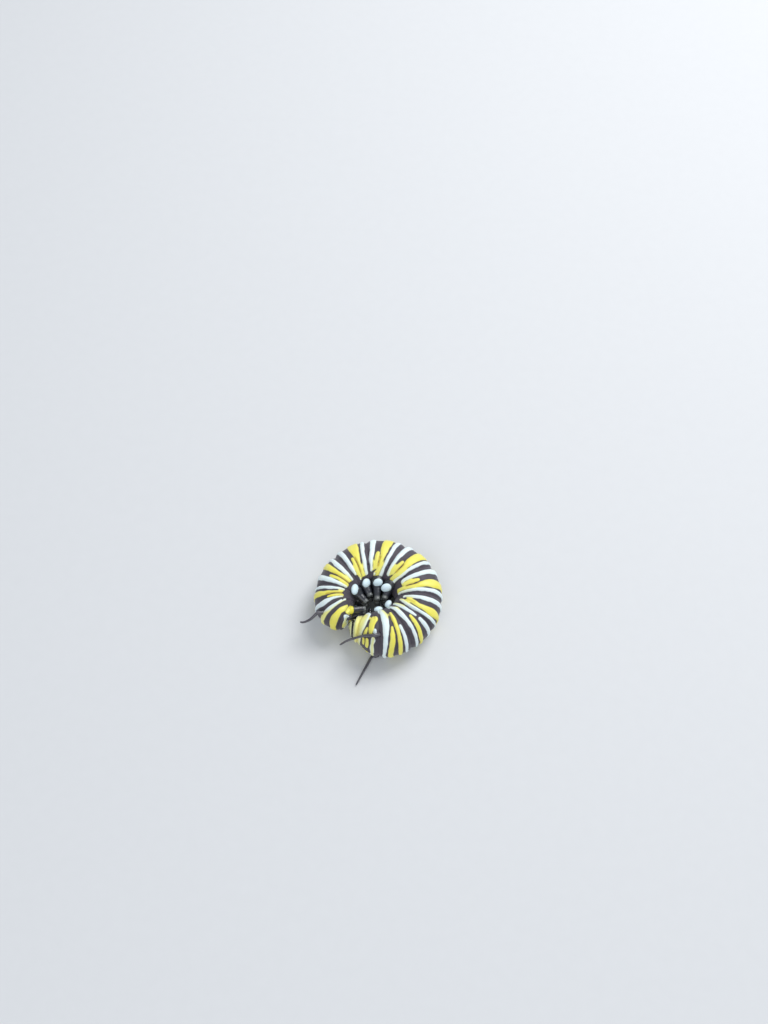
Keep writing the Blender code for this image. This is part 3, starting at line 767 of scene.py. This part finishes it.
def dome_material(name, colour):
    """Pale raised cuticle, satin, slightly darker in patches about 0.7 mm across."""
    material, tree, _, mottle = new_material(name, 0.7)
    darker = (*(channel * shade for channel, shade in zip(colour, (0.88, 0.94, 0.97))), 1.0)
    return finished(material, {
        "Base Color": painted(tree, colour, (mottle, darker)),
        "Roughness": 0.42,
        "Subsurface Weight": 0.1,
        "Subsurface Radius": (0.5 * MM, 0.5 * MM, 0.4 * MM),
        "Subsurface Scale": 1.0,
    })


def horn_material(name, colour, roughness):
    """Hard cuticle, as on claws and legs: near black, polished, with faint pores."""
    material, tree, _, pores = new_material(name, 0.12)
    lighter = (*(min(1.0, channel * 2.2 + 0.004) for channel in colour[:3]), 1.0)
    bump = add_node(tree, "ShaderNodeBump", {"Strength": 0.2, "Distance": 0.01 * MM, "Height": pores})
    return finished(material, {
        "Base Color": painted(tree, colour, (pores, lighter)),
        "Roughness": roughness,
        "Normal": bump.outputs["Normal"],
        "Coat Weight": 0.4,
        "Coat Roughness": 0.12,
    })


def head_material(settings):
    """Smooth hard cuticle of the head, pale greenish cream with black arcs.

    It is pebbled like orange peel, about 0.12 mm from dimple to dimple.
    """
    material, tree, place, mottle = new_material("striped_head_cuticle", 0.5)
    on_arc = inside_mark(tree, "arc_mm", mottle, 0.1, (0.03, 0.08))
    peel = add_node(tree, "ShaderNodeTexVoronoi", {"Vector": place, "Scale": 1 / (0.12 * MM)})
    bump = add_node(
        tree, "ShaderNodeBump",
        {"Strength": 0.25, "Distance": 0.012 * MM, "Height": peel.outputs["Distance"]},
    )
    return finished(material, {
        "Base Color": painted(tree, settings.pale, (mottle, settings.pale_yellow), (on_arc, settings.arc)),
        "Roughness": 0.32,
        "Normal": bump.outputs["Normal"],
        "Coat Weight": 0.25,
        "Coat Roughness": 0.15,
    })


def floor_material(colour):
    """Matt pale board, with grain too fine to see from here."""
    material, tree, _, grain = new_material("matt_pale_board", 2.0)
    darker = (*(channel * 0.97 for channel in colour[:3]), 1.0)
    return finished(material, {"Base Color": painted(tree, colour, (grain, darker)), "Roughness": 0.85})


# Settings that a user would change


def colour_property(name, description, default):
    return bpy.props.FloatVectorProperty(
        name=name, description=description, default=linear(default), size=4, min=0.0, max=1.0,
        subtype="COLOR",
    )


def length_property(name, description, default):
    return bpy.props.FloatProperty(
        name=name, description=description, default=default * MM, precision=5,
        subtype="DISTANCE", unit="LENGTH",
    )


class LarvaSkinSettings(bpy.types.PropertyGroup):
    """Sizes and colours of the banded skin."""

    rows_per_segment: bpy.props.IntProperty(
        name="Rows", description="Rows of faces along each segment", default=35, min=8, max=35,
    )
    sides: bpy.props.IntProperty(
        name="Sides", description="Faces round the body", default=200, min=24, max=200,
    )
    band_rise: length_property("Band rise", "How far the white and yellow bands stand proud", 0.20)
    joint_depth: length_property("Joint depth", "How deep the skin folds in between segments", 0.26)
    groove_depth: length_property("Groove depth", "Depth of the groove between the yellow bands", 0.10)
    white: colour_property("White", "White of the bands", "#F3FBF7")
    white_blue: colour_property("Bluish white", "Cooler white that it shades to", "#DAEEF1")
    yellow: colour_property("Yellow", "Yellow of the bands", "#F1E335")
    yellow_pale: colour_property("Pale yellow", "Paler yellow that it shades to", "#F1EC80")
    gold: colour_property("Gold", "Deeper yellow in the grooves", "#C9AC2C")
    black: colour_property("Black", "Black of the bands", "#322D35")
    # Painted sheen: a lighter black mixed into the black bands in patches, for light on them.
    black_sheen: colour_property("Greyed black", "Black greyed by its pile", "#554D57")
    plate: colour_property("Tail plate", "Glossy black plate over the tail", "#0B0A0C")


class LarvaLimbSettings(bpy.types.PropertyGroup):
    """Sizes and colours of the prolegs, legs and filaments."""

    proleg_spread: length_property("Proleg spread", "From the body's middle plane to a proleg's foot", 0.78)
    anal_spread: length_property("Tail proleg spread", "From the middle plane to a tail proleg's foot", 0.68)
    leg_spread: length_property("Leg spread", "From the body's middle plane to a leg's tip", 0.80)
    filament_root: length_property("Filament root", "Radius of a filament where it grows", 0.30)
    filament_tip: length_property("Filament tip", "Radius of a filament near its tip", 0.14)
    black: colour_property("Black skin", "Black of the prolegs", "#14151B")
    black_sheen: colour_property("Greyed black", "Black where its folds catch light", "#2B2E38")
    foot: colour_property("Foot", "Grey skin of the feet", "#5E615F")
    dome: colour_property("Dome", "White of the domes at the limbs' bases", "#E2F2F7")
    tail_dome: colour_property("Tail dome", "Yellow of the domes by the tail's prolegs", "#E8DB48")
    filament: colour_property("Filament", "Soft black of the filaments", "#312F34")
    # Painted sheen: a lighter grey mixed into the filaments in patches, for light on them.
    filament_sheen: colour_property("Filament, greyed", "Grey that it shades to", "#615D65")
    horn: colour_property("Horn", "Near black of legs and claws", "#0A0A0C")


class LarvaHeadSettings(bpy.types.PropertyGroup):
    """Colours of the head."""

    pale: colour_property("Pale", "Greenish cream of the capsule", "#E4EACB")
    pale_yellow: colour_property("Pale yellow", "Yellower cream that it shades to", "#E6E38F")
    arc: colour_property("Arcs", "Black of the arcs on the capsule", "#0C0B0D")
    eye: colour_property("Eyes", "Black of the small eyes", "#050506")


class LarvaStageSettings(bpy.types.PropertyGroup):
    """Floor and lights."""

    floor: colour_property("Floor", "Pale matt floor", "#DADBDC")
    key_power: bpy.props.FloatProperty(
        name="Key", description="Power of the soft light from behind on the right",
        default=1.65, unit="POWER",
    )
    fill_power: bpy.props.FloatProperty(
        name="Fill", description="Power of the soft light from the front",
        default=0.62, unit="POWER",
    )
    sky: bpy.props.FloatProperty(
        name="Sky", description="Strength of the even light from all round", default=0.55, min=0.0,
    )


# Pieces


class LARVA_OT_skin(bpy.types.Operator):
    """Builds the skin of thorax, abdomen and tail as one surface with its bands"""

    bl_idname = "larva.skin"
    bl_label = "Skin"

    def execute(self, context):
        settings = context.scene.larva_skin
        # Rows from the tail's tip, over its last two segments and the rest, to under the hood.
        places = np.concatenate((
            np.linspace(-0.97, 0.0, 12)[:-1],
            np.linspace(0.0, 2.0, 44)[:-1],
            np.linspace(2.0, HEAD_PLACE, settings.rows_per_segment * (HEAD_PLACE - 2) + 1),
            HEAD_PLACE + np.linspace(0.0, 1.0, 15)[1:],
        ))
        angles = (np.arange(settings.sides) + 0.5) / settings.sides * 2 * np.pi - np.pi
        grid = body_surface(places[:, None], angles[None, :])
        steps = np.linalg.norm(np.gradient(grid, axis=0), axis=-1)
        lengths = steps / np.gradient(places)[:, None] / MM
        fields = skin_fields(places, angles, lengths)
        groove = fields.pop("groove_mm")
        # Height of the skin: bands rise, grooves and joints sink, less so on the belly.
        band = np.maximum(fields["white_mm"], fields["yellow_mm"])
        to_joint = places - np.round(places)
        joint = np.exp(-(to_joint / JOINT_HALF_WIDTH) ** 2)
        joint = joint * ((places > 1.5) & (places < HEAD_PLACE - 0.5))
        fade = BELLY_SHARE + (1 - BELLY_SHARE) * (1 + np.cos(angles)) / 2
        swell = settings.band_rise * (ease(band, *SHOULDER) - 1.0)
        swell = swell - settings.groove_depth * np.exp(-((groove - GROOVE_MIDDLE) / GROOVE_HALF_WIDTH) ** 2)
        swell = swell - settings.joint_depth * joint[:, None] * fade[None, :]
        rings = body_surface(places[:, None], angles[None, :], swell)
        # The skin laid straight, for the wrinkles: length along the flank, and a round section.
        along = np.cumsum(np.concatenate(([0.0], np.diff(places) * lengths[1:, settings.sides // 4])))
        straight = MM * np.stack(np.broadcast_arrays(
            along[:, None], MEAN_RADIUS * np.cos(angles)[None, :], MEAN_RADIUS * np.sin(angles)[None, :],
        ), -1)
        fields = {name: values[None, ..., None] for name, values in fields.items()}
        fields["straight"] = straight[None]
        material = banded_skin_material(settings)
        add_piece("skin", [ring_patch(rings[None], fields)], material, SKIN_NODES)
        return {"FINISHED"}


def limb_paths(feet, spread, root_angle, parts):
    """Paths, names and sides of limbs: root inside the body, foot beside its middle plane.

    The side is 1 for a right limb and -1 for a left one.
    """
    paths = []
    names = []
    for name, (place, foot_x, foot_y) in feet.items():
        half_height, middle = body_section(place)[3:]
        for side, sign in (("right", 1), ("left", -1)):
            root = body_surface(place, sign * root_angle, -ROOT_SHARE * half_height)
            foot = np.append(RING_CENTRE + np.array((foot_x, foot_y)) * MM, middle + sign * spread)
            paths.append(root + (foot - root) * parts[:, None])
            names.append(f"{name}_{side}")
    return np.array(paths), names, np.tile((1.0, -1.0), len(feet))


def hooks(centres, forward, outward):
    """Curved hooks in an arc round each foot: a third of a turn of a thin tapering tube each."""
    turn = np.linspace(-HOOK_HALF_ARC, HOOK_HALF_ARC, HOOK_COUNT)
    third = np.cross(forward, outward)
    ray = np.cos(turn)[None, :, None] * outward[:, None] + np.sin(turn)[None, :, None] * third[:, None]
    bend = np.linspace(0, 2.0, 6)
    paths = (
        (centres[:, None] + ray * HOOK_ARC_RADIUS)[:, :, None]
        + ray[:, :, None] * np.sin(bend)[:, None] * HOOK_LENGTH
        + forward[:, None, None] * (1 - np.cos(bend))[:, None] * HOOK_LENGTH * 0.6
    ).reshape(-1, len(bend), 3)
    taper = np.linspace(1.0, 0.15, len(bend)) * HOOK_RADIUS
    return tubes(paths, np.broadcast_to(taper, paths.shape[:2]), 6)


class LARVA_OT_prolegs(bpy.types.Operator):
    """Builds the ten prolegs with their feet, and the hooks on them"""

    bl_idname = "larva.prolegs"
    bl_label = "Prolegs"

    def execute(self, context):
        settings = context.scene.larva_limbs
        parts = np.linspace(0, 1, 70)
        material = black_skin_material("black_satin_skin", settings.black, settings.black_sheen, settings.foot)
        horn = horn_material("black_horn_hooks", settings.horn, 0.25)
        patches = []
        hook_patches = []
        nodes = []
        for feet, spread, root_angle, profile in (
            (PROLEG_FEET, settings.proleg_spread, PROLEG_ROOT_ANGLE, PROLEG_PROFILE),
            (ANAL_FEET, settings.anal_spread, ANAL_ROOT_ANGLE, ANAL_PROFILE),
        ):
            paths, names, side = limb_paths(feet, spread, root_angle, parts)
            nodes += [f"proleg_{name}" for name in names]
            folded = ease(parts, 0.3, 0.5) * ease(1 - parts, 0.05, 0.2)
            radii = profile_radii(profile, parts) * (1 + FOLD_HEIGHT * np.sin(parts * FOLD_WAVES) * folded)
            rings = tubes(paths, np.broadcast_to(radii, paths.shape[:2]), 48)
            length = np.linalg.norm(paths[:, -1] - paths[:, 0], axis=-1) / MM
            foot = (parts[None, :, None] - FOOT_START) * length[:, None, None] * np.ones((1, 1, 48))
            patches.append(ring_patch(rings, {"foot_mm": foot[..., None]}))
            forward = unit(paths[:, -1] - paths[:, 0])
            outward = np.tile((0.0, 0.0, 1.0), (len(paths), 1)) * -side[:, None]
            outward = unit(outward - forward * (outward * forward).sum(-1, keepdims=True))
            centres = paths[:, -1] - forward * 0.06 * MM
            hook_patches.append(ring_patch(hooks(centres, forward, outward)))
        add_piece("prolegs", patches, material, nodes)
        add_piece("proleg_hooks", hook_patches, horn, ())
        return {"FINISHED"}


def dome_patches(domes):
    """Flat eggs lying on the body, each with its twin mirrored in the body's middle plane."""
    patches = []
    for place, (middle, half_width, stretch, degrees) in domes.items():
        centre, _, _, _, height = body_section(place)
        turn = np.radians(degrees)
        along = np.array((np.cos(turn), np.sin(turn), 0.0))
        right = np.append(RING_CENTRE, 0.0) + np.array(middle) * MM
        outward = right - np.append(centre, height)
        outward = unit(outward - along * (outward @ along) + (0.0, 0.0, 1.0 * MM))
        sizes = np.array((DOME_THICKNESS, half_width * stretch, half_width)) * MM
        for mirror in (np.array((1.0, 1.0, 1.0)), np.array((1.0, 1.0, -1.0))):
            axes = np.array((outward, along, np.cross(outward, along))) * mirror
            root = np.where(mirror < 0, 2 * height - right, right) - axes[0] * DOME_SINK * MM
            patches.append(ring_patch(eggs([root], axes, [sizes], 24, 40)))
    return patches


class LARVA_OT_domes(bpy.types.Operator):
    """Builds the white domes at the limbs' bases and the yellow ones by the tail's prolegs"""

    bl_idname = "larva.domes"
    bl_label = "Domes"

    def execute(self, context):
        settings = context.scene.larva_limbs
        white = dome_material("white_dome_cuticle", settings.dome)
        yellow = dome_material("yellow_dome_cuticle", settings.tail_dome)
        add_piece("white_domes", dome_patches(DOMES), white, ())
        add_piece("yellow_domes", dome_patches(TAIL_DOMES), yellow, ())
        return {"FINISHED"}


class LARVA_OT_legs(bpy.types.Operator):
    """Builds the six jointed legs of the thorax with their claws"""

    bl_idname = "larva.legs"
    bl_label = "Legs"

    def execute(self, context):
        settings = context.scene.larva_limbs
        parts = np.linspace(0, 1, 60)
        paths, names, side = limb_paths(LEG_TIPS, settings.leg_spread, LEG_ROOT_ANGLE, parts)
        bow = side * np.linalg.norm(paths[:, -1] - paths[:, 0], axis=-1) * LEG_BOW
        paths[..., 2] += bow[:, None] * np.sin(parts * np.pi)
        radii = profile_radii(LEG_PROFILE, parts)
        rings = tubes(paths, np.broadcast_to(radii, paths.shape[:2]), 32)
        material = horn_material("black_leg_horn", settings.horn, 0.24)
        nodes = [f"leg_{name}" for name in names]
        add_piece("legs", [ring_patch(rings)], material, nodes)
        return {"FINISHED"}


class LARVA_OT_filaments(bpy.types.Operator):
    """Builds the four soft black filaments"""

    bl_idname = "larva.filaments"
    bl_label = "Filaments"

    def execute(self, context):
        settings = context.scene.larva_limbs
        parts = np.linspace(0, 1, 90)
        paths = []
        for points in FILAMENTS.values():
            rows = np.array(points) * MM
            rows[:, :2] += RING_CENTRE
            paths.append(curve_rows(rows, parts * (len(rows) - 1)))
        paths = np.array(paths)
        radii = settings.filament_root - (settings.filament_root - settings.filament_tip) * parts ** 1.5
        radii = radii * (1 + RING_HEIGHT * np.sin(parts * RING_WAVES))
        radii = radii * np.sqrt(np.clip((1.005 - parts) / 0.03, 0.02, 1))
        radii = radii + ROOT_FLARE * np.exp(-parts / 0.06)
        rings = tubes(paths, np.broadcast_to(radii, paths.shape[:2]), 24)
        material = black_skin_material(
            "black_filament_skin", settings.filament, settings.filament_sheen, settings.foot,
        )
        no_foot = np.full((*rings.shape[:3], 1), -2.0)
        nodes = [f"filament_{name}" for name in FILAMENTS]
        patch = ring_patch(rings, {"foot_mm": no_foot})
        add_piece("filaments", [patch], material, nodes)
        return {"FINISHED"}


def head_frame():
    """Middle of the neck, and the directions forward, out to the right and down to the mouth."""
    centre, backward, _, _, middle = body_section(HEAD_PLACE)
    neck = np.append(centre, middle)
    down = -np.append(backward, 0.0)
    return neck, np.array((heading(HEAD_PLACE), (0.0, 0.0, 1.0), down))


def head_surface(part, angle, swell=0.0):
    """Points of the capsule: part of its thickness, and angle from the crown.

    The outline is an oval (half width, half height) times the size
    sqrt(1 - |(2 part - 0.75) / 1.25| to the power 2.6), with a notch at the crown.
    """
    neck, axes = head_frame()
    part, angle = np.broadcast_arrays(part, angle)
    size = np.sqrt(np.clip(1 - np.abs((2 * part - 0.75) / 1.25) ** 2.6, 0, 1))
    turn = (angle + np.pi) % (2 * np.pi) - np.pi
    size = size * (1 - CROWN_NOTCH * np.exp(-(turn / CROWN_NOTCH_WIDTH) ** 2))
    up = np.cos(angle) * (HEAD_HALF_HEIGHT * size + swell)
    out = np.sin(angle) * (HEAD_HALF_WIDTH * size + swell) * (1 - CHEEK_SWELL * np.cos(angle))
    lean = -np.cos(angle) * FACE_LEAN * part
    ahead = NECK_GAP + part * HEAD_THICKNESS + lean
    return neck + np.stack((ahead, out, -up), -1) @ axes


def head_points(places):
    """Points given as forward, out and down from the head's centre, in mm."""
    neck, axes = head_frame()
    return neck + np.asarray(places) * MM @ axes


def head_marks(parts, angles):
    """Distance in mm inside the head's black marks, and how far its seams sink.

    Arc: half width - |part of the thickness - (middle + bow x cos(angle from the crown))|
    in mm. Chevron: half width - |out - (start + slope x (top - up))| square to its edge.
    Patch: radius - distance from its middle. A seam is as deep as exp(-(off / half width)
    squared).
    """
    neck, axes = head_frame()
    ahead, out, down = np.moveaxis((head_surface(parts, angles) - neck) @ axes.T / MM, -1, 0)
    out = np.abs(out)
    up = -down
    front = parts > 0.5
    turn = np.abs((angles + np.pi) % (2 * np.pi) - np.pi)
    marks = []
    for middle, bow, half_width, end in ARCS:
        off = np.abs(parts - middle - bow * np.cos(turn)) * HEAD_THICKNESS / MM
        marks.append(np.where(turn < np.radians(end), half_width - off, -1.0))
    off = out - CHEVRON_START - CHEVRON_SLOPE * (CHEVRON_TOP - up)
    on_face = front & (up < CHEVRON_SPAN[1])
    inside = CHEVRON_HALF_WIDTH - np.abs(off) * np.cos(np.arctan(CHEVRON_SLOPE))
    marks.append(np.where(on_face & (up > CHEVRON_SPAN[0]), inside, -1.0))
    marks.append(np.where(front, FACE_PATCH[1] - np.hypot(out, (up - FACE_PATCH[0]) * 0.8), -1.0))
    crown_seam = np.exp(-(out / SEAM_HALF_WIDTH) ** 2) * ((up > CHEVRON_TOP) & (ahead > 0.1))
    face_seam = np.exp(-(off / SEAM_HALF_WIDTH) ** 2) * (on_face & (up > FACE_SEAM_END))
    return np.maximum.reduce(marks), (CROWN_SEAM_DEPTH * crown_seam + FACE_SEAM_DEPTH * face_seam) * MM


class LARVA_OT_head(bpy.types.Operator):
    """Builds the head: capsule with its arcs, eyes, feelers and mouthparts"""

    bl_idname = "larva.head"
    bl_label = "Head"

    def execute(self, context):
        settings = context.scene.larva_head
        _, axes = head_frame()
        parts = (1 - (1 - np.linspace(0, 0.985, 84)) ** 1.35)[:, None]
        angles = 2 * np.pi * np.arange(150)[None, :] / 150
        marks, sunk = head_marks(parts, angles)
        rings = head_surface(parts, angles, -sunk)
        labrum = eggs(head_points([LABRUM[0]]), axes, np.array([LABRUM[1]]) * MM, 18, 28)
        patches = [
            ring_patch(rings[None], {"arc_mm": marks[None, ..., None]}),
            ring_patch(labrum, {"arc_mm": np.full((*labrum.shape[:3], 1), -0.5)}),
        ]
        add_piece("head_capsule", patches, head_material(settings), ("head",))

        eye_places = np.array([(part, side * degrees) for part, degrees in EYES for side in (1, -1)])
        eye_centres = head_surface(eye_places[:, 0], np.radians(eye_places[:, 1]), -EYE_SINK)
        balls = eggs(eye_centres, axes, np.full((len(eye_places), 3), EYE_RADIUS), 14, 20)
        lens = horn_material("polished_eye_lens", settings.eye, 0.08)
        add_piece("eyes", [ring_patch(balls)], lens, ())

        middle, half_sizes = np.array(MANDIBLE)
        both = np.array(((1, 1, 1), (1, -1, 1)))
        jaws = eggs(head_points(middle * both), axes, np.tile(half_sizes, (2, 1)) * MM, 20, 28)
        patches = [ring_patch(jaws)]
        along = np.linspace(0, 1, 44)
        radii = profile_radii(FEELER_PROFILE, along)
        for roots, tips, width, sides in (
            (FEELER[0] * both, FEELER[1] * both, 1.0, 20), (PALPS, PALP_TIPS, PALP_WIDTH, 16),
        ):
            roots = head_points(roots)
            paths = roots[:, None] + (head_points(tips) - roots)[:, None] * along[:, None]
            patches.append(ring_patch(tubes(paths, np.tile(radii * width, (len(roots), 1)), sides)))
        mouth = horn_material("dark_mouth_horn", context.scene.larva_limbs.horn, 0.28)
        add_piece("mouthparts", patches, mouth, ())
        return {"FINISHED"}


# Stage

CAMERA_HEIGHT_ANGLE = np.radians(59.19)
CAMERA_DISTANCE = 233.1 * MM
CAMERA_TARGET = np.array((1.10, 1.79, 3.9)) * MM
TARGET_PIXEL = (378.4, 596.8)
FRAME_SIZE = (768, 1024)
LENS = 50.0
SENSOR = 36.0
# Soft square lights: where they stand and how wide they are, in metres.
KEY_LIGHT = ((0.20, 0.24, 0.36), 0.26)
FILL_LIGHT = ((-0.10, -0.34, 0.32), 0.35)
SKY_COLOUR = "#E4ECF7"
FLOOR_REACH = 1.5
FLOOR_CELLS = 8


def area_light(name, place, size, power):
    """A square soft light that faces the larva."""
    light = bpy.data.lights.new(name, "AREA")
    light.shape = "SQUARE"
    light.size = size
    light.energy = power
    lamp = bpy.data.objects.new(name, light)
    bpy.context.scene.collection.objects.link(lamp)
    backward = unit(np.array(place) - CAMERA_TARGET)
    across = unit(np.cross((0.0, 0.0, 1.0), backward))
    matrix = np.eye(4)
    matrix[:3] = np.stack((across, np.cross(backward, across), backward, place), -1)
    lamp.matrix_world = matrix.T.tolist()


class LARVA_OT_stage(bpy.types.Operator):
    """Sets up the pale floor, the soft lights and the camera"""

    bl_idname = "larva.stage"
    bl_label = "Stage"

    def execute(self, context):
        scene = context.scene
        settings = scene.larva_stage
        scene.view_settings.view_transform = "Standard"
        edge = np.linspace(-FLOOR_REACH, FLOOR_REACH, FLOOR_CELLS + 1)
        x, y = np.meshgrid(edge, edge, indexing="ij")
        points = np.stack((x, y, np.zeros_like(x)), -1).reshape(-1, 3)
        row, column = np.divmod(np.arange(FLOOR_CELLS ** 2), FLOOR_CELLS)
        corner = row * (FLOOR_CELLS + 1) + column
        faces = corner[:, None] + np.array((0, FLOOR_CELLS + 1, FLOOR_CELLS + 2, 1))
        mesh = bpy.data.meshes.new("floor")
        mesh.from_pydata(points, [], faces.tolist())
        mesh.materials.append(floor_material(settings.floor))
        floor = bpy.data.objects.new("floor", mesh)
        scene.collection.objects.link(floor)

        area_light("key_light", *KEY_LIGHT, settings.key_power)
        area_light("fill_light", *FILL_LIGHT, settings.fill_power)
        world = bpy.data.worlds.new("pale_studio")
        world.use_nodes = True
        set_inputs(world.node_tree.nodes["Background"], {
            "Color": linear(SKY_COLOUR),
            "Strength": settings.sky,
        })
        scene.world = world

        focal = LENS / SENSOR * max(FRAME_SIZE)
        right = (TARGET_PIXEL[0] - FRAME_SIZE[0] / 2) / focal
        up = (FRAME_SIZE[1] / 2 - TARGET_PIXEL[1]) / focal
        tilt = np.pi / 2 - CAMERA_HEIGHT_ANGLE
        turn = np.array((
            (1.0, 0.0, 0.0),
            (0.0, np.cos(tilt), -np.sin(tilt)),
            (0.0, np.sin(tilt), np.cos(tilt)),
        ))
        towards = unit(turn @ np.array((right, up, -1.0)))
        camera_data = bpy.data.cameras.new("camera")
        camera_data.lens = LENS
        camera_data.sensor_width = SENSOR
        camera_data.clip_start = 0.005
        camera = bpy.data.objects.new("camera", camera_data)
        camera.location = CAMERA_TARGET - towards * CAMERA_DISTANCE
        camera.rotation_euler = (tilt, 0.0, 0.0)
        scene.collection.objects.link(camera)
        scene.camera = camera
        return {"FINISHED"}


class LARVA_PT_panel(bpy.types.Panel):
    """Lists the pieces and their settings"""

    bl_idname = "LARVA_PT_panel"
    bl_label = "Monarch larva"
    bl_space_type = "VIEW_3D"
    bl_region_type = "UI"
    bl_category = "Larva"

    def draw(self, context):
        for operator in OPERATORS:
            self.layout.operator(operator.bl_idname)
        for name, group in SETTINGS.items():
            box = self.layout.box()
            settings = getattr(context.scene, name)
            for field in group.__annotations__:
                box.prop(settings, field)


SETTINGS = {
    "larva_skin": LarvaSkinSettings,
    "larva_limbs": LarvaLimbSettings,
    "larva_head": LarvaHeadSettings,
    "larva_stage": LarvaStageSettings,
}
OPERATORS = (
    LARVA_OT_skin,
    LARVA_OT_prolegs,
    LARVA_OT_domes,
    LARVA_OT_legs,
    LARVA_OT_filaments,
    LARVA_OT_head,
    LARVA_OT_stage,
)


def register():
    for item in (*SETTINGS.values(), *OPERATORS, LARVA_PT_panel):
        bpy.utils.register_class(item)
    for name, group in SETTINGS.items():
        setattr(bpy.types.Scene, name, bpy.props.PointerProperty(type=group))


def unregister():
    for name in SETTINGS:
        delattr(bpy.types.Scene, name)
    for item in reversed((*SETTINGS.values(), *OPERATORS, LARVA_PT_panel)):
        bpy.utils.unregister_class(item)


def main():
    register()
    for operator in OPERATORS:
        getattr(bpy.ops.larva, operator.bl_idname.removeprefix("larva."))()


if __name__ == "__main__":
    main()
